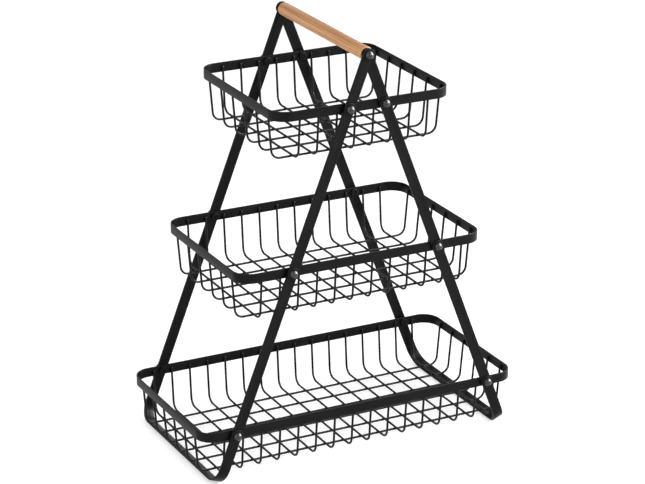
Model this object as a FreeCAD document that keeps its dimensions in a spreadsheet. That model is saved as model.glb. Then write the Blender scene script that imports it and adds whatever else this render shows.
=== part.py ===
import FreeCAD, Part
import os
import re
from enum import IntEnum
import Sketcher

# Three-tier wire basket: two leaning U-shaped leg frames carry three welded wire baskets
# and meet at a wooden handle. X runs along the baskets, -Y is the front, +Z is up.
# The origin lies on the table, midway between the two foot rails.

# Driving dimensions in millimetres, angles in degrees
SIZES = {
    "bar_width": 12.0,
    "bar_thickness": 2.5,
    "lean_angle": 21.1,
    "foot_bend_radius": 17.0,
    "leg_end_reach": 6.5,
    "leg_end_flat": 1.0,
    "top_hole_distance": 60.5,
    "middle_hole_distance": 246.0,
    "bottom_hole_distance": 433.5,
    "basket_depth": 194.0,
    "top_overhang": 84.0,
    "middle_overhang": 60.2,
    "bottom_overhang": 38.2,
    "top_drop": 52.0,
    "middle_drop": 52.5,
    "bottom_drop": 49.8,
    "band_height": 11.0,
    "band_thickness": 1.5,
    "band_corner_radius": 20.0,
    "wire_size": 2.2,
    "wall_lean": 5.0,
    "wire_bend_radius": 10.0,
    "wire_end_inset": 5.0,
    "wire_corner_margin": 2.0,
    "cross_wire_pitch": 22.0,
    "top_wire_pitch": 29.0,
    "middle_wire_pitch": 28.0,
    "bottom_wire_pitch": 27.5,
    "weld_gap": 0.05,
    "rail_clearance": 0.2,
    "handle_diameter": 15.0,
    "handle_chamfer": 0.6,
    "pilot_extra": 1.0,
    "screw_diameter": 5.0,
    "hole_clearance": 0.1,
    "thread_gap": 0.05,
    "thread_recess": 0.5,
    "handle_screw_reach": 20.0,
    "flange_diameter": 14.0,
    "flange_thickness": 1.2,
    "dome_diameter": 9.6,
    "dome_height": 5.0,
    "dome_side_height": 2.0,
    "dome_crown_diameter": 4.8,
    "spacer_width": 10.0,
    "nut_width": 8.0,
    "nut_thickness": 2.7,
}
BASKETS = ("top", "middle", "bottom")
FULL_TURN = 360.0
# Each round bend of a wire is made of this many short straight pieces
BEND_FLATS = 3


class Spot(IntEnum):
    """Numbers by which a sketch knows its own lines and the ends of a line."""
    START = 1
    END = 2
    LEVEL_AXIS = -1
    UPRIGHT_AXIS = -2


# Formulas shared by several pieces, written with the names above
RAIL_TOP = "(bar_thickness * cos(lean_angle) + bar_width * sin(lean_angle))"
BOTTOM_RIM = f"({RAIL_TOP} + rail_clearance + wire_size / 2 + bottom_drop)"
HANDLE_HEIGHT = f"({BOTTOM_RIM} + bottom_hole_distance * cos(lean_angle))"
LEG_LENGTH = f"(({HANDLE_HEIGHT} - bar_width / 2 * sin(lean_angle)) / cos(lean_angle))"
HALF_DEPTH = "(basket_depth / 2)"
INNER_LEG_FACE = "(basket_depth / 2 + bar_thickness)"
OUTER_LEG_FACE = "(basket_depth / 2 + 2 * bar_thickness)"
BAND_INSIDE = "(basket_depth / 2 - band_thickness)"
SHANK_HALF = "(screw_diameter / 2)"
HOLE_HALF = "(screw_diameter / sqrt(3) + hole_clearance)"
THREAD_HALF = "(screw_diameter / 2 + thread_gap)"
BASKET_SHANK = "(2 * bar_thickness + band_thickness + nut_thickness - thread_recess)"
HANDLE_SHANK = "(2 * bar_thickness + handle_screw_reach)"
WIRE_TIP = "(band_height / 2 - wire_end_inset)"
WIRE_INSET = "(band_thickness + wire_size / 2 + weld_gap)"

doc = FreeCAD.newDocument("tiered_wire_basket")
sheet = doc.addObject("Spreadsheet::Sheet", "Sizes")
for row, (name, size) in enumerate(SIZES.items(), 1):
    sheet.set(f"A{row}", name)
    sheet.set(f"B{row}", str(size))
    sheet.setAlias(f"B{row}", name)
doc.recompute()
pieces = []


def bound(formula):
    """The formula with its size names turned into references to the sheet."""
    return re.sub(r"[a-z_]+", lambda word: f"Sizes.{word[0]}" if word[0] in SIZES else word[0], formula)


def value(formula):
    """The formula's present value as a plain number."""
    return float(sheet.evalExpression(bound(formula)))


def screw_half_spacing(basket):
    return f"({basket}_hole_distance * sin(lean_angle))"


def rim_half_length(basket):
    return f"({screw_half_spacing(basket)} + {basket}_overhang)"


def rim_height(basket):
    return f"({HANDLE_HEIGHT} - {basket}_hole_distance * cos(lean_angle))"


def cross_wires_inside(basket):
    """Cross wires from the middle to a screw: each screw stands midway between two of them."""
    return f"max(1; round({screw_half_spacing(basket)} / cross_wire_pitch))"


def cross_wire_spacing(basket):
    return f"({screw_half_spacing(basket)} / {cross_wires_inside(basket)})"


def cross_wire_count(basket):
    straight = f"({basket}_overhang - band_corner_radius - wire_corner_margin)"
    beyond = f"floor({straight} / {cross_wire_spacing(basket)} + 0.5)"
    return f"(2 * ({cross_wires_inside(basket)} + max(0; {beyond})))"


def long_wire_count(basket):
    straight = f"({HALF_DEPTH} - band_corner_radius - wire_corner_margin)"
    return f"(2 * max(1; floor({straight} / {basket}_wire_pitch + 0.5)))"


def new_body(label, height):
    """An empty piece whose own origin is raised to the given height."""
    body = doc.addObject("PartDesign::Body", label)
    body.Label = label
    body.AllowCompound = True
    body.setExpression(".Placement.Base.z", bound(height))
    pieces.append(body)
    return body


def origin_feature(body, role):
    return next(item for item in body.Origin.OriginFeatures if item.Role == role)


def new_sketch(body, name, plane, **offset):
    """A sketch on one of the body's own planes, moved in it by formulas for x, y or z."""
    sketch = body.newObject("Sketcher::SketchObject", name)
    sketch.AttachmentSupport = [(origin_feature(body, plane), "")]
    sketch.MapMode = "FlatFace"
    for axis, formula in offset.items():
        sketch.setExpression(f".AttachmentOffset.Base.{axis}", bound(formula))
    return sketch


def moved(formula, shift):
    """The sum of two formulas, left as it is where one of them is nothing."""
    if "0" in (formula, shift):
        return shift if formula == "0" else formula
    return f"{shift} + {formula}"


def bind(sketch, constraint, formula):
    """Add a size to a sketch and tie it to a formula."""
    index = sketch.addConstraint(constraint)
    sketch.setExpression(f"Constraints[{index}]", bound(formula))


def set_point(sketch, item, end, corner):
    """Fix a point of a sketch at a corner given as two formulas from the sketch's origin."""
    for kind, axis, formula in (("DistanceX", Spot.UPRIGHT_AXIS, corner[0]),
                                ("DistanceY", Spot.LEVEL_AXIS, corner[1])):
        if formula == "0":
            sketch.addConstraint(Sketcher.Constraint("PointOnObject", item, end, axis))
        else:
            origin = (Spot.LEVEL_AXIS, Spot.START)
            bind(sketch, Sketcher.Constraint(kind, *origin, item, end, value(formula)), formula)


def add_lines(sketch, corners):
    """Straight lines from corner to corner; the first and last corner are left unjoined."""
    points = [FreeCAD.Vector(value(x), value(y), 0) for x, y in corners]
    lines = [sketch.addGeometry(Part.LineSegment(*ends), False) for ends in zip(points, points[1:])]
    for line, following in zip(lines, lines[1:]):
        sketch.addConstraint(Sketcher.Constraint("Coincident", line, Spot.END, following, Spot.START))
    for line, corner in zip(lines, corners):
        set_point(sketch, line, Spot.START, corner)
    return lines


def add_polygon(sketch, corners):
    """A closed outline of straight lines through the corners."""
    lines = add_lines(sketch, corners + corners[:1])
    sketch.addConstraint(Sketcher.Constraint("Coincident", lines[-1], Spot.END, lines[0], Spot.START))


def add_hexagon(sketch, half_width, centre=("0", "0"), upright=False):
    """A six-sided outline about a centre, with two flats level or, if upright, two flats standing."""
    point = f"({half_width} * 2 / sqrt(3))"
    corners = [(point, "0"), (f"{point} / 2", half_width), (f"-{point} / 2", half_width),
               (f"-{point}", "0"), (f"-{point} / 2", f"-{half_width}"), (f"{point} / 2", f"-{half_width}")]
    if upright:
        corners = [(y, x) for x, y in corners]
    add_polygon(sketch, [(moved(x, centre[0]), moved(y, centre[1])) for x, y in corners])


def add_pad(body, sketch, length, name):
    """A solid drawn out from a sketch by half the length to either side."""
    pad = body.newObject("PartDesign::Pad", name)
    pad.Profile = sketch
    pad.SideType = "Symmetric"
    pad.setExpression("Length", bound(length))
    doc.recompute()
    return pad


def cut_through(body, sketch, name):
    pocket = body.newObject("PartDesign::Pocket", name)
    pocket.Profile = sketch
    pocket.SideType = "Symmetric"
    pocket.Type = "ThroughAll"
    doc.recompute()


def turn(body, sketch, name):
    """A solid turned about the sketch's upright axis."""
    revolution = body.newObject("PartDesign::Revolution", name)
    revolution.Profile = sketch
    revolution.ReferenceAxis = (sketch, ["V_Axis"])
    revolution.Angle = FULL_TURN
    doc.recompute()
    return revolution


def round_edges(body, feature, chosen, radius, name):
    """Round those edges of a feature for which chosen(edge) holds."""
    names = [f"Edge{number}" for number, edge in enumerate(feature.Shape.Edges, 1) if chosen(edge)]
    fillet = body.newObject("PartDesign::Fillet", name)
    fillet.Base = (feature, names)
    fillet.setExpression("Radius", bound(radius))
    doc.recompute()
    return fillet


def edge_at(direction, axis, formula):
    """A test for straight edges along one axis whose middle lies at plus or minus a size on another."""
    level = abs(value(formula))

    def chosen(edge):
        if edge.Curve.TypeId != "Part::GeomLine":
            return False
        parallel = abs(abs(edge.Curve.Direction[direction]) - 1.0) < 1e-6
        return parallel and abs(abs(edge.CenterOfMass[axis]) - level) < 1e-4

    return chosen


def half_turn_copies(body, features, name):
    """The features again after half a turn about the upright axis."""
    pattern = body.newObject("PartDesign::PolarPattern", name)
    pattern.Originals = features
    pattern.Axis = (origin_feature(body, "Z_Axis"), [""])
    pattern.Angle = FULL_TURN
    pattern.Occurrences = 2
    body.Tip = pattern
    doc.recompute()


def leg_frame(label, side):
    """One flat bar bent into a U: front leg, foot rail and rear leg, drilled for its screws.

    It is drawn upright about the handle axis and leans out to its side, -1 left or +1 right.
    The two frames are alike and lie one bar thickness apart, so that they overlap at the handle.
    """
    body = new_body(label, HANDLE_HEIGHT)
    outside = f"({HALF_DEPTH} + 1.5 * bar_thickness)"
    inside = f"({HALF_DEPTH} + 0.5 * bar_thickness)"
    rail_inside = f"({LEG_LENGTH} - bar_thickness)"
    outline = new_sketch(body, f"{label}_outline", "YZ_Plane")
    add_polygon(outline, [
        (f"-{outside}", "leg_end_reach"), (f"-{outside}", f"-{LEG_LENGTH}"),
        (outside, f"-{LEG_LENGTH}"), (outside, "leg_end_reach"),
        (inside, "leg_end_reach"), (inside, f"-{rail_inside}"),
        (f"-{inside}", f"-{rail_inside}"), (f"-{inside}", "leg_end_reach"),
    ])
    bar = add_pad(body, outline, "bar_width", f"{label}_bar")
    outer_bends = round_edges(body, bar, edge_at(0, 2, LEG_LENGTH),
                              "foot_bend_radius + bar_thickness", f"{label}_outer_bends")
    inner_bends = round_edges(body, outer_bends, edge_at(0, 2, rail_inside),
                              "foot_bend_radius", f"{label}_inner_bends")
    round_edges(body, inner_bends, edge_at(1, 2, "leg_end_reach"),
                "(bar_width - leg_end_flat) / 2", f"{label}_rounded_ends")
    holes = new_sketch(body, f"{label}_holes", "XZ_Plane")
    add_hexagon(holes, HOLE_HALF)
    for basket in BASKETS:
        add_hexagon(holes, HOLE_HALF, ("0", f"-{basket}_hole_distance"))
    cut_through(body, holes, f"{label}_drilled")
    body.Placement.Rotation = FreeCAD.Rotation(FreeCAD.Vector(0, -side, 0), value("lean_angle"))
    body.setExpression(".Placement.Rotation.Angle", bound("lean_angle"))
    body.setExpression(".Placement.Base.y", bound(f"{side} * bar_thickness / 2"))


def rim_band(basket):
    """Flat band bent into a rounded rectangle, drilled for the four screws."""
    label = f"{basket}_basket_rim"
    body = new_body(label, rim_height(basket))
    ring = new_sketch(body, f"{label}_ring", "XY_Plane")
    half_length = rim_half_length(basket)
    for along, across in ((half_length, HALF_DEPTH), (f"({half_length} - band_thickness)", BAND_INSIDE)):
        add_polygon(ring, [(f"-{along}", f"-{across}"), (along, f"-{across}"),
                           (along, across), (f"-{along}", across)])
    band = add_pad(body, ring, "band_height", f"{label}_band")
    outer_corners = round_edges(body, band, edge_at(2, 1, HALF_DEPTH),
                                "band_corner_radius", f"{label}_outer_corners")
    round_edges(body, outer_corners, edge_at(2, 1, BAND_INSIDE),
                "band_corner_radius - band_thickness", f"{label}_inner_corners")
    holes = new_sketch(body, f"{label}_holes", "XZ_Plane")
    for sign in ("-", ""):
        add_hexagon(holes, HOLE_HALF, (sign + screw_half_spacing(basket), "0"))
    cut_through(body, holes, f"{label}_drilled")


def wire_path(sketch, tip, drop):
    """Centre line of one wire: a floor and two walls that lean outwards, joined by rounded bends."""
    corner = f"({tip} - ({WIRE_TIP} + {drop}) * tan(wall_lean))"
    middle = f"({corner} - wire_bend_radius * tan((90 - wall_lean) / 2))"
    bend = []
    for step in range(BEND_FLATS + 1):
        angle = f"({step} / {BEND_FLATS} * (90 - wall_lean))"
        bend.append((f"({middle} + wire_bend_radius * sin({angle}))",
                     f"(wire_bend_radius * (1 - cos({angle})) - {drop})"))
    half = bend + [(tip, WIRE_TIP)]
    lines = add_lines(sketch, [(f"-{x}", y) for x, y in reversed(half)] + half)
    set_point(sketch, lines[-1], Spot.END, half[-1])


def bent_wires(label, height, runs_along_x, tip, drop, count, pitch):
    """A row of equal bent wires of six-sided section that all run along X, or all along Y."""
    body = new_body(label, height)
    first = f"(({count} - 1) / 2 * {pitch})"
    if runs_along_x:
        path = new_sketch(body, f"{label}_path", "XZ_Plane", z=first)
        section = new_sketch(body, f"{label}_section", "XY_Plane", x=tip, y=f"-{first}", z=WIRE_TIP)
        tilt_axis, row_axis = FreeCAD.Vector(0, 1, 0), "Y_Axis"
    else:
        path = new_sketch(body, f"{label}_path", "YZ_Plane", z=f"-{first}")
        section = new_sketch(body, f"{label}_section", "XY_Plane", x=f"-{first}", y=tip, z=WIRE_TIP)
        tilt_axis, row_axis = FreeCAD.Vector(-1, 0, 0), "X_Axis"
    wire_path(path, tip, drop)
    section.AttachmentOffset.Rotation = FreeCAD.Rotation(tilt_axis, value("wall_lean"))
    section.setExpression(".AttachmentOffset.Rotation.Angle", bound("wall_lean"))
    add_hexagon(section, "(wire_size / 2)", upright=runs_along_x)
    doc.recompute()
    wire = body.newObject("PartDesign::AdditivePipe", f"{label}_wire")
    wire.Profile = section
    wire.Spine = path
    wire.Transition = "Right corner"
    doc.recompute()
    row = body.newObject("PartDesign::LinearPattern", f"{label}_row")
    row.Originals = [wire]
    row.Direction = (origin_feature(body, row_axis), [""])
    row.Mode = "Spacing"
    row.setExpression("Offset", bound(pitch))
    row.setExpression("Occurrences", bound(count))
    body.Tip = row
    doc.recompute()


def basket_wires(basket):
    """The two crossing rows of a basket: the cross wires lie on top of the long ones."""
    height = rim_height(basket)
    bent_wires(f"{basket}_basket_long_wires", height, True, f"({rim_half_length(basket)} - {WIRE_INSET})",
               f"{basket}_drop", long_wire_count(basket), f"{basket}_wire_pitch")
    bent_wires(f"{basket}_basket_cross_wires", height, False, f"({HALF_DEPTH} - {WIRE_INSET})",
               f"({basket}_drop - wire_size)", cross_wire_count(basket), cross_wire_spacing(basket))


def hexagon_bar(body, name, x, y, length, half_width, bore=None):
    """A six-sided bar along Y at the given x, centred on y, with a six-sided bore if one is given."""
    outline = new_sketch(body, f"{name}_outline", "XZ_Plane", x=x, z=f"-({y})")
    add_hexagon(outline, half_width)
    if bore:
        add_hexagon(outline, bore)
    return add_pad(body, outline, length, name)


def domed_screw(body, name, x, seat, length):
    """A screw along Y: its shank starts at y = seat, where the flange under its dome bears on a leg."""
    head = new_sketch(body, f"{name}_head_profile", "XY_Plane", x=x)
    rise = f"({seat} - flange_thickness)"
    add_polygon(head, [
        ("0", seat), ("flange_diameter / 2", seat), ("flange_diameter / 2", rise), ("dome_diameter / 2", rise),
        ("dome_diameter / 2", f"{rise} - dome_side_height"),
        ("dome_crown_diameter / 2", f"{rise} - dome_height"), ("0", f"{rise} - dome_height"),
    ])
    turned = turn(body, head, f"{name}_head")
    shank = hexagon_bar(body, f"{name}_shank", x, f"{seat} + {length} / 2", length, SHANK_HALF)
    return [turned, shank]


def basket_fasteners(basket):
    """Screws, nuts and spacers that hold one rim between the four legs.

    Each row is made for the front joints and copied to the rear by half a turn. The left front
    leg lies outside the right one, so a spacer fills the gap between it and the rim.
    """
    height = rim_height(basket)
    left, right = f"-{screw_half_spacing(basket)}", screw_half_spacing(basket)
    screws = new_body(f"{basket}_basket_screws", height)
    nuts = new_body(f"{basket}_basket_nuts", height)
    spacers = new_body(f"{basket}_basket_spacers", height)
    rows = {screws: [], nuts: [], spacers: []}
    for side, x, face in (("left", left, OUTER_LEG_FACE), ("right", right, INNER_LEG_FACE)):
        rows[screws] += domed_screw(screws, f"{screws.Label}_{side}", x, f"-{face}", BASKET_SHANK)
        rows[nuts].append(hexagon_bar(nuts, f"{nuts.Label}_{side}", x, f"nut_thickness / 2 - {BAND_INSIDE}",
                                      "nut_thickness", "(nut_width / 2)", THREAD_HALF))
    rows[spacers].append(hexagon_bar(spacers, f"{spacers.Label}_left", left,
                                     f"-({HALF_DEPTH} + bar_thickness / 2)", "bar_thickness",
                                     "(spacer_width / 2)", HOLE_HALF))
    for body, features in rows.items():
        half_turn_copies(body, features, f"{body.Label}_rear")


def handle():
    """Wooden grip between the legs, drilled at both ends for the screw that clamps the leg ends to it."""
    grip = new_body("handle_grip", HANDLE_HEIGHT)
    skin = "(handle_diameter / 2)"
    profile = new_sketch(grip, "handle_grip_profile", "XY_Plane")
    add_polygon(profile, [
        ("0", f"-{HALF_DEPTH}"), (f"{skin} - handle_chamfer", f"-{HALF_DEPTH}"),
        (skin, f"-{HALF_DEPTH} + handle_chamfer"), (skin, f"{HALF_DEPTH} - handle_chamfer"),
        (f"{skin} - handle_chamfer", HALF_DEPTH), ("0", HALF_DEPTH),
    ])
    turn(grip, profile, "handle_grip_turned")
    depth = "(handle_screw_reach + pilot_extra)"
    for end, sign in (("front", "-"), ("rear", "")):
        pilot = new_sketch(grip, f"handle_pilot_{end}_outline", "XZ_Plane", z=f"-({sign}{HALF_DEPTH})")
        add_hexagon(pilot, THREAD_HALF)
        drilled = grip.newObject("PartDesign::Pocket", f"handle_pilot_{end}")
        drilled.Profile = pilot
        drilled.SideType = "Symmetric"
        drilled.setExpression("Length", bound(f"2 * {depth}"))
        doc.recompute()
    screws = new_body("handle_screws", HANDLE_HEIGHT)
    features = domed_screw(screws, "handle_screws_front", "0", f"-{OUTER_LEG_FACE}", HANDLE_SHANK)
    half_turn_copies(screws, features, "handle_screws_rear")


leg_frame("left_leg_frame", -1)
leg_frame("right_leg_frame", 1)
handle()
for basket in BASKETS:
    rim_band(basket)
    basket_wires(basket)
    basket_fasteners(basket)
doc.recompute()

for item in doc.Objects:
    if "Invalid" in item.State or "Error" in item.State:
        raise RuntimeError(f"{item.Label} is not in order: {item.State}")
os.makedirs("parts", exist_ok=True)
for body in pieces:
    if body.Shape.isNull() or not body.Shape.isValid():
        raise RuntimeError(f"{body.Label} has no sound shape")
    body.Shape.exportStep(f"parts/{body.Label}.step")
    print(body.Label, len(body.Shape.Solids), "solids")
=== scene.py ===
import math
import bmesh
import bpy
from mathutils import Matrix, Vector


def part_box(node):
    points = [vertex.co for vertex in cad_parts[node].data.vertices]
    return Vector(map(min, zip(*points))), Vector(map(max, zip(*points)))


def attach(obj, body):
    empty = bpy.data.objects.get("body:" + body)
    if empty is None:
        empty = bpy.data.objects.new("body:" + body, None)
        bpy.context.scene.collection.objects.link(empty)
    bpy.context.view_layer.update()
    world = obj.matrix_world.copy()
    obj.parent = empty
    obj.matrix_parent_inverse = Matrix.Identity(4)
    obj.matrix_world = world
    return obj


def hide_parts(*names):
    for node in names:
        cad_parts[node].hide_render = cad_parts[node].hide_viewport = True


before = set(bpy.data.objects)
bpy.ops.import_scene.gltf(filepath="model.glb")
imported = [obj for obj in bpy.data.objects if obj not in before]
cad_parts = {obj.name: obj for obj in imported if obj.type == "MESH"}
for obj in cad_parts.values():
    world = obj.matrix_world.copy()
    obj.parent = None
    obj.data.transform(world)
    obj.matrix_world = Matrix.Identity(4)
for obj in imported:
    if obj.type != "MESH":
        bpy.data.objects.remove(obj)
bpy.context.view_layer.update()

MM = 0.001
BASKETS = ("top", "middle", "bottom")
LONG_WIRES = 6
CROSS_WIRES = {"top": 8, "middle": 12, "bottom": 16}
SMOOTH_ANGLE = math.radians(35)

# Leg frames
LEG_THICKNESS = 2.5 * MM
LEG_EDGE_ROUNDING = 0.45 * MM
LEG_EDGE_STEPS = 3
LEG_SHARP_ANGLE = math.radians(40)
LEG_FLAT_ANGLE = math.radians(1)
LEG_POINT_MERGE = 0.001 * MM

# Rim bands
BAND_THICKNESS = 1.5 * MM
BAND_EDGE_ROUNDING = 0.4 * MM
BAND_EDGE_STEPS = 3
BAND_CORNER_RADIUS = 20 * MM
BAND_CORNER_STEPS = 14

# Wires and their welds
WIRE_SIZE = 2.2 * MM
WIRE_COAT_BUILD = 0.15 * MM
WIRE_SIDES = 12
WIRE_BEND_RADIUS = 10 * MM
WIRE_BEND_STEPS = 6
WALL_LEAN = math.radians(5)
CROSSING_WELD_SIZE = 2.9 * MM
TIP_WELD_SIZE = 2.9 * MM
TIP_WELD_RISE = 1.3 * MM
WELD_SEGMENTS = 8
WELD_RINGS = 5

# Screws
HEAD_SIDES = 40
FLANGE_RADIUS = 7 * MM
FLANGE_THICKNESS = 1.2 * MM
FLANGE_ROUNDING = 0.45 * MM
FLANGE_EDGE_STEPS = 4
DOME_RADIUS = 4.8 * MM
DOME_HEIGHT = 5 * MM
DOME_STEPS = 10
DOME_SUNK = 0.3 * MM
SHANK_RADIUS = 2.4 * MM
SHANK_SIDES = 20
SHANK_TAPER_START = 0.97
SHANK_TIP_SHARE = 0.85
SHANK_IN_WOOD = 20 * MM
SHANK_RECESS_IN_NUT = 0.5 * MM
FACING_FRONT = 0.0
FACING_REAR = math.pi

# Nuts and spacers
NUT_WIDTH = 8 * MM
NUT_THICKNESS = 2.7 * MM
NUT_STEPS = 48
NUT_FACE_SHARE = 0.96
NUT_CHAMFER_SLOPE = math.tan(math.radians(30))
SPACER_RADIUS = 5 * MM
SPACER_ROUNDING = 0.35 * MM
SPACER_SIDES = 32
WHOLE_SIZE = 1.0

# Wooden grip
GRIP_ROUNDING = 1.2 * MM
GRIP_EDGE_STEPS = 5
GRIP_SIDES = 64
GRAIN_SHIFT = (29.44, 8.52, 38.78)

# Colours, as (place in the pattern, colour or share of the coat's tone)
COAT_SHADES = ((0.08, 0.6), (0.30, 1.0), (0.55, 1.8))
COAT_BLUE_SHARE = 1.05
GLOSS_SHADES = ((0.25, (0.006, 0.006, 0.0065)), (0.75, (0.012, 0.012, 0.013)))
WOOD_SHADES = ((0.36, (0.37, 0.155, 0.055)), (0.46, (0.57, 0.275, 0.112)),
               (0.54, (0.69, 0.365, 0.163)), (0.66, (0.80, 0.475, 0.235)))
PORE_SHADES = ((0.26, (0.62, 0.56, 0.50)), (0.36, (1.0, 1.0, 1.0)))
PORE_DEPTH_SHARE = 0.6
FLOOR_SHADES = ((0.3, (0.80, 0.80, 0.80)), (0.7, (0.82, 0.82, 0.82)))
WHITE = (1.0, 1.0, 1.0, 1.0)

# The Mix node's sockets for colours
MIX_FACTOR = 0
MIX_FIRST = 6
MIX_SECOND = 7
MIX_RESULT = 2

# The camera's place, from the photograph's own vanishing lines
CAMERA_TARGET = Vector((-0.00108, 0.0, 0.21895))
CAMERA_DISTANCE = 2.8395
CAMERA_AZIMUTH = math.radians(27.296)
CAMERA_ELEVATION = math.radians(20.888)
CAMERA_ROLL = math.radians(0.139)
CAMERA_LENS = 142.94
SENSOR_WIDTH = 36.0

# The white room
FLOOR_REACH = 12.0
FLOOR_GLOW = 0.5
ROOM_LIGHT = 0.5
ROOM_SEEN = 1.0


def add_node(tree, kind, inputs, **settings):
    """A node with its settings, whose inputs are linked or set; returns its outputs."""
    node = tree.nodes.new(kind)
    for name, setting in settings.items():
        setattr(node, name, setting)
    for name, source in inputs.items():
        if isinstance(source, bpy.types.NodeSocket):
            tree.links.new(source, node.inputs[name])
        else:
            node.inputs[name].default_value = source
    return node.outputs


def math_node(tree, operation, first, second):
    return add_node(tree, "ShaderNodeMath", {0: first, 1: second}, operation=operation)[0]


# Geometry Nodes trees
def node_tree(name, inputs):
    """A new tree with geometry in and out and one named input for each size."""
    tree = bpy.data.node_groups.new(name, "GeometryNodeTree")
    tree.interface.new_socket("Geometry", in_out="INPUT", socket_type="NodeSocketGeometry")
    tree.interface.new_socket("Geometry", in_out="OUTPUT", socket_type="NodeSocketGeometry")
    for label, kind in inputs.items():
        tree.interface.new_socket(label, in_out="INPUT", socket_type="NodeSocket" + kind)
    return tree, tree.nodes.new("NodeGroupInput").outputs


def real_and_painted(tree, geometry, material):
    """Real meshes in one material."""
    real = add_node(tree, "GeometryNodeRealizeInstances", {"Geometry": geometry})
    return add_node(tree, "GeometryNodeSetMaterial", {"Geometry": real[0], "Material": material})[0]


def close_tree(tree, geometry):
    add_node(tree, "NodeGroupOutput", {"Geometry": geometry})
    return tree


def wire_row_tree():
    """A wire bent along the base line, repeated in a row."""
    tree, given = node_tree("bent wire row", {
        "Wire Size": "Float", "Bend Radius": "Float", "Wires": "Int", "Step": "Vector",
        "Finish": "Material"})
    line = add_node(tree, "GeometryNodeMeshToCurve", {"Mesh": given["Geometry"]})
    bent = add_node(tree, "GeometryNodeFilletCurve", {
        "Curve": line[0], "Radius": given["Bend Radius"], "Count": WIRE_BEND_STEPS}, mode="POLY")
    half = math_node(tree, "MULTIPLY", given["Wire Size"], 0.5)
    section = add_node(tree, "GeometryNodeCurvePrimitiveCircle", {
        "Resolution": WIRE_SIDES, "Radius": half})
    wire = add_node(tree, "GeometryNodeCurveToMesh", {
        "Curve": bent[0], "Profile Curve": section[0], "Fill Caps": True})
    places = add_node(tree, "GeometryNodeMeshLine", {"Count": given["Wires"], "Offset": given["Step"]})
    row = add_node(tree, "GeometryNodeInstanceOnPoints", {"Points": places[0], "Instance": wire[0]})
    return close_tree(tree, real_and_painted(tree, row[0], given["Finish"]))


def band_tree():
    """A flat band with rounded edges, bent round a rectangle with rounded corners."""
    tree, given = node_tree("rim band", {
        "Length": "Float", "Depth": "Float", "Height": "Float", "Thickness": "Float",
        "Corner Radius": "Float", "Edge Rounding": "Float", "Place": "Vector", "Finish": "Material"})
    outline = add_node(tree, "GeometryNodeCurvePrimitiveQuadrilateral", {
        "Width": given["Length"], "Height": given["Depth"]}, mode="RECTANGLE")
    path = add_node(tree, "GeometryNodeFilletCurve", {
        "Curve": outline[0], "Radius": given["Corner Radius"], "Count": BAND_CORNER_STEPS,
        "Limit Radius": True}, mode="POLY")
    section = add_node(tree, "GeometryNodeCurvePrimitiveQuadrilateral", {
        "Width": given["Thickness"], "Height": given["Height"]}, mode="RECTANGLE")
    soft = add_node(tree, "GeometryNodeFilletCurve", {
        "Curve": section[0], "Radius": given["Edge Rounding"], "Count": BAND_EDGE_STEPS}, mode="POLY")
    band = add_node(tree, "GeometryNodeCurveToMesh", {"Curve": path[0], "Profile Curve": soft[0]})
    placed = add_node(tree, "GeometryNodeTransform", {
        "Geometry": band[0], "Translation": given["Place"]})
    return close_tree(tree, real_and_painted(tree, placed[0], given["Finish"]))


def fastener_tree():
    """Shapes on the base's points, turned by each one's facing, with shanks as long as its reach."""
    tree, given = node_tree("fastener set", {
        "Dome": "Object", "Body": "Object", "Shank": "Object",
        "Dome Finish": "Material", "Finish": "Material"})
    facing = add_node(tree, "GeometryNodeInputNamedAttribute", {"Name": "facing"}, data_type="FLOAT")
    reach = add_node(tree, "GeometryNodeInputNamedAttribute", {"Name": "reach"}, data_type="FLOAT")
    turn = add_node(tree, "ShaderNodeCombineXYZ", {"Z": facing[0]})
    stretch = add_node(tree, "ShaderNodeCombineXYZ", {"X": 1.0, "Y": reach[0], "Z": 1.0})
    whole = Vector((1.0, 1.0, 1.0))
    joined = tree.nodes.new("GeometryNodeJoinGeometry")
    for label, scale, finish in (("Dome", whole, "Dome Finish"), ("Body", whole, "Finish"),
                                 ("Shank", stretch[0], "Finish")):
        shape = add_node(tree, "GeometryNodeObjectInfo", {"Object": given[label]})
        placed = add_node(tree, "GeometryNodeInstanceOnPoints", {
            "Points": given["Geometry"], "Instance": shape["Geometry"],
            "Rotation": turn[0], "Scale": scale})
        painted = real_and_painted(tree, placed[0], given[finish])
        tree.links.new(painted, joined.inputs[0])
    return close_tree(tree, joined.outputs[0])


def weld_tree():
    """A small round bead on each point of the base."""
    tree, given = node_tree("weld beads", {"Bead Size": "Float", "Finish": "Material"})
    half = math_node(tree, "MULTIPLY", given["Bead Size"], 0.5)
    bead = add_node(tree, "GeometryNodeMeshUVSphere", {
        "Segments": WELD_SEGMENTS, "Rings": WELD_RINGS, "Radius": half})
    beads = add_node(tree, "GeometryNodeInstanceOnPoints", {
        "Points": given["Geometry"], "Instance": bead[0]})
    return close_tree(tree, real_and_painted(tree, beads[0], given["Finish"]))


# Meshes and objects
def base_mesh(name, points, edges=(), **attributes):
    """Points and lines that a tree starts from, with one number per point for each attribute."""
    mesh = bpy.data.meshes.new(name)
    mesh.from_pydata([tuple(point) for point in points], list(edges), [])
    for label, values in attributes.items():
        mesh.attributes.new(label, "FLOAT", "POINT").data.foreach_set("value", values)
    return mesh


def mesh_from(name, shape):
    """The mesh of a finished bmesh, with its faces turned outwards."""
    bmesh.ops.recalc_face_normals(shape, faces=shape.faces)
    mesh = bpy.data.meshes.new(name)
    shape.to_mesh(mesh)
    shape.free()
    return mesh


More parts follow.
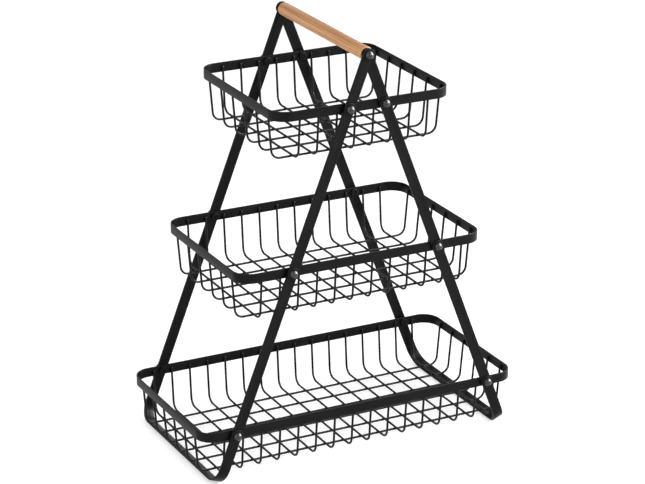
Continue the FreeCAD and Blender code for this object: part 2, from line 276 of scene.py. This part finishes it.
def turned_mesh(name, outline, sides):
    """A closed shape turned about Y, from (radius, along) points that end on the axis or meet."""
    shape = bmesh.new()
    rings = []
    for radius, along in outline:
        count = sides if radius > 0 else 1
        turns = [2 * math.pi * step / sides for step in range(count)]
        rings.append([shape.verts.new((radius * math.cos(turn), along, radius * math.sin(turn)))
                      for turn in turns])
    if len(rings[0]) > 1:
        rings.append(rings[0])
    for ring, following in zip(rings, rings[1:]):
        for step in range(sides):
            corners = [ring[step % len(ring)], ring[(step + 1) % len(ring)],
                       following[(step + 1) % len(following)], following[step % len(following)]]
            shape.faces.new(list(dict.fromkeys(corners)))
    return mesh_from(name, shape)


def arc(centre, radius, start, end, steps):
    """Points of a round edge from one angle to another, in degrees."""
    turns = [math.radians(start + (end - start) * step / steps) for step in range(steps + 1)]
    return [(centre[0] + radius * math.cos(turn), centre[1] + radius * math.sin(turn)) for turn in turns]


def new_object(name, data):
    made = bpy.data.objects.new(name, data)
    bpy.context.scene.collection.objects.link(made)
    return made


def plain_mesh(piece):
    """The piece's evaluated shape as its own mesh, with no modifier left."""
    graph = bpy.context.evaluated_depsgraph_get()
    shape = bpy.data.meshes.new_from_object(piece.evaluated_get(graph))
    piece.modifiers.clear()
    piece.data = shape
    return piece


def made_by_tree(name, tree, base, values):
    """A piece with the tree's shape for these values, as a plain mesh."""
    piece = new_object(name, base)
    modifier = piece.modifiers.new("shape", "NODES")
    modifier.node_group = tree
    for socket in tree.interface.items_tree:
        if socket.in_out == "INPUT" and socket.name in values:
            modifier[socket.identifier] = values[socket.name]
    return plain_mesh(piece)


def settle(piece, slot, *nodes):
    """The finished piece takes its place on the object, instead of the named nodes."""
    piece.data.shade_smooth()
    piece.data.set_sharp_from_angle(angle=SMOOTH_ANGLE)
    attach(piece, "root")
    if nodes:
        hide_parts(*nodes)


# Materials
def noise(tree, place, scale, detail=2.0, roughness=0.5):
    """A noise pattern, scale in waves per metre."""
    return add_node(tree, "ShaderNodeTexNoise", {
        "Vector": place, "Scale": scale, "Detail": detail, "Roughness": roughness})[0]


def grain(tree, place, across, along, detail, roughness):
    """A noise pattern drawn out along the grip, in waves per metre across and along it."""
    drawn = add_node(tree, "ShaderNodeMapping", {
        "Vector": place, "Scale": (across, along, across), "Location": GRAIN_SHIFT})
    return noise(tree, drawn[0], 1.0, detail, roughness)


def ramp(tree, amount, stops):
    """Colours over a pattern, as (place, colour) stops."""
    outputs = add_node(tree, "ShaderNodeValToRGB", {"Fac": amount})
    elements = outputs[0].node.color_ramp.elements
    while len(elements) < len(stops):
        elements.new(0.5)
    for element, (place, colour) in zip(elements, stops):
        element.position = place
        element.color = (*colour, 1.0)
    return outputs[0]


def spread(tree, amount, low, high):
    """A pattern from 0 to 1, spread between two values."""
    return add_node(tree, "ShaderNodeMapRange", {"Value": amount, "To Min": low, "To Max": high})[0]


def new_finish(name):
    """An empty material: the material, its tree, its shader and the object coordinates."""
    finish = bpy.data.materials.new(name)
    finish.use_nodes = True
    tree = finish.node_tree
    shader = tree.nodes["Principled BSDF"]
    place = add_node(tree, "ShaderNodeTexCoord", {})["Object"]
    return finish, tree, shader, place


def dress(tree, shader, colour, roughness, height, strength, depth):
    """Links a finish's colour, roughness and fine relief to its shader."""
    bump = add_node(tree, "ShaderNodeBump", {"Height": height, "Strength": strength, "Distance": depth})
    tree.links.new(colour, shader.inputs["Base Color"])
    tree.links.new(roughness, shader.inputs["Roughness"])
    tree.links.new(bump[0], shader.inputs["Normal"])


def powder_coat(name, tone, gloss_level, peel_strength):
    """Satin black powder coat of a given tone: fine orange peel, faint clouds and specks."""
    finish, tree, shader, place = new_finish(name)
    clouds = noise(tree, place, scale=45.0, detail=3.0)
    specks = noise(tree, place, scale=2600.0, detail=2.0, roughness=0.6)
    peel = noise(tree, place, scale=1100.0, detail=3.0, roughness=0.55)
    stops = []
    for stop, share in COAT_SHADES:
        shade = tone * share
        stops.append((stop, (shade, shade, shade * COAT_BLUE_SHARE)))
    colour = ramp(tree, math_node(tree, "MULTIPLY", clouds, specks), stops)
    roughness = spread(tree, clouds, low=0.30, high=0.42)
    shader.inputs["Specular IOR Level"].default_value = gloss_level
    dress(tree, shader, colour, roughness, peel, strength=peel_strength, depth=0.12 * MM)
    return finish


def fastener_gloss():
    """Glossy black domes: smooth lacquer over plating with faint clouds."""
    finish, tree, shader, place = new_finish("black gloss fastener")
    clouds = noise(tree, place, scale=140.0, detail=3.0)
    ripple = noise(tree, place, scale=700.0, detail=2.0)
    colour = ramp(tree, clouds, GLOSS_SHADES)
    roughness = spread(tree, clouds, low=0.18, high=0.26)
    shader.inputs["Specular IOR Level"].default_value = 0.5
    dress(tree, shader, colour, roughness, ripple, strength=0.08, depth=0.06 * MM)
    return finish


def handle_wood():
    """Oiled light wood with growth bands, fibres and short dark pores along the grip."""
    finish, tree, shader, place = new_finish("handle wood")
    bands = grain(tree, place, across=230.0, along=3.0, detail=4.0, roughness=0.55)
    fibres = grain(tree, place, across=760.0, along=12.0, detail=3.0, roughness=0.6)
    pores = grain(tree, place, across=2400.0, along=90.0, detail=2.0, roughness=0.5)
    half_bands = math_node(tree, "MULTIPLY", bands, 0.5)
    half_fibres = math_node(tree, "MULTIPLY", fibres, 0.5)
    colour = ramp(tree, math_node(tree, "ADD", half_bands, half_fibres), WOOD_SHADES)
    dark = ramp(tree, pores, PORE_SHADES)
    streaked = add_node(tree, "ShaderNodeMix", {
        MIX_FACTOR: 1.0, MIX_FIRST: colour, MIX_SECOND: dark}, data_type="RGBA", blend_type="MULTIPLY")
    roughness = spread(tree, fibres, low=0.42, high=0.62)
    pore_height = math_node(tree, "MULTIPLY", pores, PORE_DEPTH_SHARE)
    height = math_node(tree, "ADD", fibres, pore_height)
    shader.inputs["Specular IOR Level"].default_value = 0.4
    dress(tree, shader, streaked[MIX_RESULT], roughness, height, strength=0.25, depth=0.10 * MM)
    return finish


coat = powder_coat("black powder coat", tone=0.0055, gloss_level=0.09, peel_strength=0.22)
wire_coat = powder_coat("black wire coat", tone=0.0040, gloss_level=0.14, peel_strength=0.05)
gloss = fastener_gloss()
wood = handle_wood()


# Legs and baskets
def leg_frame(name):
    """A leg frame in the shape of its solid, with its sharp edges rounded."""
    piece = new_object(name + "_bar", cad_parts[name].data.copy())
    piece.data.materials.clear()
    piece.data.materials.append(coat)
    shape = bmesh.new()
    shape.from_mesh(piece.data)
    bmesh.ops.remove_doubles(shape, verts=shape.verts, dist=LEG_POINT_MERGE)
    bmesh.ops.dissolve_limit(shape, angle_limit=LEG_FLAT_ANGLE, verts=shape.verts, edges=shape.edges)
    shape.to_mesh(piece.data)
    shape.free()
    rounding = piece.modifiers.new("edges", "BEVEL")
    rounding.width = LEG_EDGE_ROUNDING
    rounding.segments = LEG_EDGE_STEPS
    rounding.limit_method = "ANGLE"
    rounding.angle_limit = LEG_SHARP_ANGLE
    plain_mesh(piece)
    settle(piece, "black_powder_coat", name)


def rim(basket, tree):
    """A basket's rim band, in the box of its solid."""
    low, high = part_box(f"{basket}_basket_rim")
    piece = made_by_tree(f"{basket}_rim_band", tree, base_mesh("start", []), {
        "Length": high.x - low.x - BAND_THICKNESS, "Depth": high.y - low.y - BAND_THICKNESS,
        "Height": high.z - low.z, "Thickness": BAND_THICKNESS,
        "Corner Radius": BAND_CORNER_RADIUS - BAND_THICKNESS / 2, "Edge Rounding": BAND_EDGE_ROUNDING,
        "Place": (0.0, 0.0, (low.z + high.z) / 2), "Finish": coat})
    settle(piece, "black_powder_coat", f"{basket}_basket_rim")


def wire_line(node, along, count):
    """The first wire's points, the step to the next, all wires' places, the tip and the floor."""
    low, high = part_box(node)
    across = 1 - along
    half_wire = WIRE_SIZE / 2
    tip = high[along] - half_wire * math.cos(WALL_LEAN)
    tip_height = high.z - half_wire * math.sin(WALL_LEAN)
    floor = low.z + half_wire
    corner = tip - (tip_height - floor) * math.tan(WALL_LEAN)
    first = low[across] + half_wire
    last = high[across] - half_wire
    points = []
    for reach, height in ((-tip, tip_height), (-corner, floor), (corner, floor), (tip, tip_height)):
        point = Vector((0.0, 0.0, height))
        point[along] = reach
        point[across] = first
        points.append(point)
    step = Vector((0.0, 0.0, 0.0))
    step[across] = (last - first) / (count - 1)
    places = [first + step[across] * number for number in range(count)]
    return points, step, places, tip, floor


def basket_wires(basket, wire_tree, bead_tree):
    """Both rows of wires of a basket, and the beads that weld them to each other and to the rim."""
    rows = {}
    for kind, along, count in (("long", 0, LONG_WIRES), ("cross", 1, CROSS_WIRES[basket])):
        node = f"{basket}_basket_{kind}_wires"
        points, step, places, tip, floor = wire_line(node, along, count)
        line = base_mesh("line", points, [(0, 1), (1, 2), (2, 3)])
        piece = made_by_tree(f"{basket}_{kind}_wires", wire_tree, line, {
            "Wire Size": WIRE_SIZE + 2 * WIRE_COAT_BUILD, "Bend Radius": WIRE_BEND_RADIUS,
            "Wires": count, "Step": tuple(step), "Finish": wire_coat})
        settle(piece, "black_powder_coat", node)
        rows[kind] = (places, tip, floor)
    long_places, long_tip, long_floor = rows["long"]
    cross_places, cross_tip, cross_floor = rows["cross"]
    middle = (long_floor + cross_floor) / 2
    crossings = [(x, y, middle) for x in cross_places for y in long_places]
    base = base_mesh("crossings", crossings)
    crossing_beads = made_by_tree(f"{basket}_crossing_welds", bead_tree, base, {
        "Bead Size": CROSSING_WELD_SIZE, "Finish": wire_coat})
    settle(crossing_beads, "black_powder_coat")
    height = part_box(f"{basket}_basket_long_wires")[1].z - TIP_WELD_SIZE / 2 + TIP_WELD_RISE
    tips = [(side * long_tip, y, height) for side in (-1, 1) for y in long_places]
    tips += [(x, side * cross_tip, height) for side in (-1, 1) for x in cross_places]
    tip_beads = made_by_tree(f"{basket}_rim_welds", bead_tree, base_mesh("tips", tips), {
        "Bead Size": TIP_WELD_SIZE, "Finish": wire_coat})
    settle(tip_beads, "black_powder_coat")


# Fasteners
def screw_dome():
    """The domed head, from the flange at -Y outwards, with its foot sunk a little into the flange."""
    foot = DOME_SUNK - FLANGE_THICKNESS
    outline = [(0.0, -FLANGE_THICKNESS - DOME_HEIGHT)]
    for step in range(1, DOME_STEPS + 1):
        turn = math.radians(90 * step / DOME_STEPS)
        outline.append((DOME_RADIUS * math.sin(turn), -FLANGE_THICKNESS - DOME_HEIGHT * math.cos(turn)))
    outline += [(DOME_RADIUS, foot), (0.0, foot)]
    return turned_mesh("dome", outline, HEAD_SIDES)


def screw_flange():
    """The round flange under a dome, seated at Y = 0, with a rounded edge."""
    shoulder = (FLANGE_RADIUS - FLANGE_ROUNDING, FLANGE_ROUNDING - FLANGE_THICKNESS)
    rounded = arc(shoulder, FLANGE_ROUNDING, -90, 0, FLANGE_EDGE_STEPS)
    outline = [(0.0, -FLANGE_THICKNESS)] + rounded + [(FLANGE_RADIUS, 0.0), (0.0, 0.0)]
    return turned_mesh("flange", outline, HEAD_SIDES)


def screw_shank():
    """A shank one unit long from the seat to +Y, with a tapered tip."""
    outline = [(0.0, 0.0), (SHANK_RADIUS, 0.0), (SHANK_RADIUS, SHANK_TAPER_START),
               (SHANK_RADIUS * SHANK_TIP_SHARE, 1.0), (0.0, 1.0)]
    return turned_mesh("shank", outline, SHANK_SIDES)


def nut_mesh():
    """A six-sided nut with chamfered corners and a bore, from Y = 0 to its thickness."""
    half = NUT_WIDTH / 2
    face = half * NUT_FACE_SHARE
    shape = bmesh.new()
    rings = [[], [], [], [], [], []]
    for step in range(NUT_STEPS):
        turn = 2 * math.pi * step / NUT_STEPS
        sector = math.fmod(turn, math.pi / 3) - math.pi / 6
        corner = half / math.cos(sector)
        drop = (corner - face) * NUT_CHAMFER_SLOPE
        around = ((SHANK_RADIUS, 0.0), (face, 0.0), (corner, drop), (corner, NUT_THICKNESS - drop),
                  (face, NUT_THICKNESS), (SHANK_RADIUS, NUT_THICKNESS))
        for ring, (radius, along) in zip(rings, around):
            ring.append(shape.verts.new((radius * math.cos(turn), along, radius * math.sin(turn))))
    for ring, following in zip(rings, rings[1:] + rings[:1]):
        for step in range(NUT_STEPS):
            after = (step + 1) % NUT_STEPS
            shape.faces.new((ring[step], ring[after], following[after], following[step]))
    return mesh_from("nut", shape)


def spacer_mesh():
    """A round spacer with softened edges, as long as a leg is thick."""
    inner, outer, end = SHANK_RADIUS, SPACER_RADIUS, LEG_THICKNESS
    outline = [(inner, 0.0), (outer - SPACER_ROUNDING, 0.0), (outer, SPACER_ROUNDING),
               (outer, end - SPACER_ROUNDING), (outer - SPACER_ROUNDING, end), (inner, end)]
    return turned_mesh("spacer", outline, SPACER_SIDES)


def fastener_set(name, tree, shapes, places, node):
    """One piece of like fasteners, from (point, facing, reach) places."""
    points, facings, reaches = zip(*places)
    base = base_mesh(name, points, facing=facings, reach=reaches)
    finishes = {"Dome Finish": gloss, "Finish": coat}
    piece = made_by_tree(name, tree, base, {**shapes, **finishes})
    settle(piece, "black_gloss_fastener", node)


def basket_fasteners(basket, tree, screw, nut, spacer):
    """A basket's screws and nuts, and spacers behind the legs that lie outside the other pair."""
    low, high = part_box(f"{basket}_basket_rim")
    band_face = high.y
    height = (low.z + high.z) / 2
    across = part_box(f"{basket}_basket_screws")[1].x - FLANGE_RADIUS
    near = band_face + LEG_THICKNESS
    far = band_face + 2 * LEG_THICKNESS
    inside = BAND_THICKNESS + NUT_THICKNESS - SHANK_RECESS_IN_NUT
    through_one = LEG_THICKNESS + inside
    through_two = 2 * LEG_THICKNESS + inside
    screws = [(Vector((-across, -far, height)), FACING_FRONT, through_two),
              (Vector((across, -near, height)), FACING_FRONT, through_one),
              (Vector((-across, near, height)), FACING_REAR, through_one),
              (Vector((across, far, height)), FACING_REAR, through_two)]
    fastener_set(f"{basket}_domed_screws", tree, screw, screws, f"{basket}_basket_screws")
    nut_face = band_face - BAND_THICKNESS
    nuts = [(Vector((side * across, end * nut_face, height)), facing, WHOLE_SIZE)
            for side in (-1, 1) for end, facing in ((-1, FACING_FRONT), (1, FACING_REAR))]
    fastener_set(f"{basket}_hex_nuts", tree, nut, nuts, f"{basket}_basket_nuts")
    spacers = [(Vector((-across, -near, height)), FACING_FRONT, WHOLE_SIZE),
               (Vector((across, near, height)), FACING_REAR, WHOLE_SIZE)]
    fastener_set(f"{basket}_round_spacers", tree, spacer, spacers, f"{basket}_basket_spacers")


def handle_fasteners(tree, screw):
    """The screws through two legs into the grip's ends."""
    low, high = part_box("handle_grip")
    axis = (low.z + high.z) / 2
    leg_face = high.y + 2 * LEG_THICKNESS
    reach = 2 * LEG_THICKNESS + SHANK_IN_WOOD
    ends = [(Vector((0.0, -leg_face, axis)), FACING_FRONT, reach),
            (Vector((0.0, leg_face, axis)), FACING_REAR, reach)]
    fastener_set("handle_domed_screws", tree, screw, ends, "handle_screws")


def fasteners(tree):
    """All the fasteners, from shapes that are removed once they are in place."""
    screw = {"Dome": new_object("dome", screw_dome()), "Body": new_object("flange", screw_flange()),
             "Shank": new_object("shank", screw_shank())}
    nut = {"Body": new_object("nut", nut_mesh())}
    spacer = {"Body": new_object("spacer", spacer_mesh())}
    for basket in BASKETS:
        basket_fasteners(basket, tree, screw, nut, spacer)
    handle_fasteners(tree, screw)
    for shape in (*screw.values(), *nut.values(), *spacer.values()):
        bpy.data.objects.remove(shape)


# Handle
def grip():
    """The turned wooden grip, with rounded ends."""
    low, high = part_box("handle_grip")
    radius = (high.z - low.z) / 2
    end = high.y
    axis = (low.z + high.z) / 2
    shoulder = (radius - GRIP_ROUNDING, end - GRIP_ROUNDING)
    rounded = arc(shoulder, GRIP_ROUNDING, 0, 90, GRIP_EDGE_STEPS)
    mirrored = [(out, -along) for out, along in reversed(rounded)]
    outline = [(0.0, -end)] + mirrored + rounded + [(0.0, end)]
    mesh = turned_mesh("grip", outline, GRIP_SIDES)
    mesh.transform(Matrix.Translation((0.0, 0.0, axis)))
    mesh.materials.append(wood)
    settle(new_object("turned_grip", mesh), "handle_wood", "handle_grip")


def build_object():
    for name in ("left_leg_frame", "right_leg_frame"):
        leg_frame(name)
    rims, wires, beads = band_tree(), wire_row_tree(), weld_tree()
    for basket in BASKETS:
        rim(basket, rims)
        basket_wires(basket, wires, beads)
    fasteners(fastener_tree())
    grip()


# Camera, lights and stage
def add_camera():
    flat = math.cos(CAMERA_ELEVATION)
    look = Vector((math.sin(CAMERA_AZIMUTH) * flat, math.cos(CAMERA_AZIMUTH) * flat,
                   -math.sin(CAMERA_ELEVATION)))
    right = Vector((math.cos(CAMERA_AZIMUTH), -math.sin(CAMERA_AZIMUTH), 0.0))
    up = right.cross(look)
    turned = right * math.cos(CAMERA_ROLL) + up * math.sin(CAMERA_ROLL)
    upright = up * math.cos(CAMERA_ROLL) - right * math.sin(CAMERA_ROLL)
    data = bpy.data.cameras.new("camera")
    data.lens = CAMERA_LENS
    data.sensor_width = SENSOR_WIDTH
    data.sensor_fit = "HORIZONTAL"
    camera = new_object("camera", data)
    placed = Matrix((turned, upright, -look)).transposed().to_4x4()
    placed.translation = CAMERA_TARGET - look * CAMERA_DISTANCE
    camera.matrix_world = placed
    bpy.context.scene.camera = camera


def add_light(name, place, target, size, power, lights_matt=True):
    """A round lamp, which shows only in glossy surfaces where lights_matt is off."""
    data = bpy.data.lights.new(name, "AREA")
    data.shape = "DISK"
    data.size = size
    data.energy = power
    lamp = new_object(name, data)
    lamp.visible_diffuse = lights_matt
    lamp.location = place
    lamp.rotation_euler = (Vector(target) - Vector(place)).to_track_quat("-Z", "Y").to_euler()


def seen_directly(tree):
    """1 for what the camera, a reflection or a clear piece shows, 0 for light on surfaces."""
    path = add_node(tree, "ShaderNodeLightPath", {})
    mirrored = math_node(tree, "MAXIMUM", path["Is Camera Ray"], path["Is Glossy Ray"])
    return math_node(tree, "MAXIMUM", mirrored, path["Is Transmission Ray"])


def add_floor():
    """A wide white floor that keeps a soft shadow."""
    mesh = bpy.data.meshes.new("floor")
    corners = [(-FLOOR_REACH, -FLOOR_REACH, 0), (FLOOR_REACH, -FLOOR_REACH, 0),
               (FLOOR_REACH, FLOOR_REACH, 0), (-FLOOR_REACH, FLOOR_REACH, 0)]
    mesh.from_pydata(corners, [], [(0, 1, 2, 3)])
    floor = new_object("floor", mesh)
    paper, tree, shader, place = new_finish("white floor")
    tint = ramp(tree, noise(tree, place, scale=3.0), FLOOR_SHADES)
    tree.links.new(tint, shader.inputs["Base Color"])
    shader.inputs["Roughness"].default_value = 0.9
    shader.inputs["Specular IOR Level"].default_value = 0.1
    shader.inputs["Emission Color"].default_value = WHITE
    glow = math_node(tree, "MULTIPLY", seen_directly(tree), FLOOR_GLOW)
    tree.links.new(glow, shader.inputs["Emission Strength"])
    mesh.materials.append(paper)


def add_room():
    """White surroundings, dimmer as light than they look."""
    world = bpy.data.worlds.new("white room")
    bpy.context.scene.world = world
    world.use_nodes = True
    tree = world.node_tree
    sky = tree.nodes["Background"]
    sky.inputs["Color"].default_value = WHITE
    level = spread(tree, seen_directly(tree), low=ROOM_LIGHT, high=ROOM_SEEN)
    tree.links.new(level, sky.inputs["Strength"])


build_object()
add_camera()
add_floor()
add_room()
add_light("key", place=(0.5, -1.9, 1.3), target=(0.0, 0.0, 0.25), size=0.9, power=15.0)
add_light("right softbox", place=(1.6, -1.0, 1.1), target=(0.0, 0.0, 0.3), size=1.0, power=25.0)
add_light("left fill", place=(-1.9, -0.6, 1.2), target=(0.0, 0.0, 0.22), size=3.0, power=21.0)
add_light("dome glint", place=(1.9, -0.6, 1.5), target=(0.0, 0.0, 0.25), size=2.5, power=250.0,
          lights_matt=False)
bpy.context.scene.view_settings.view_transform = "Standard"
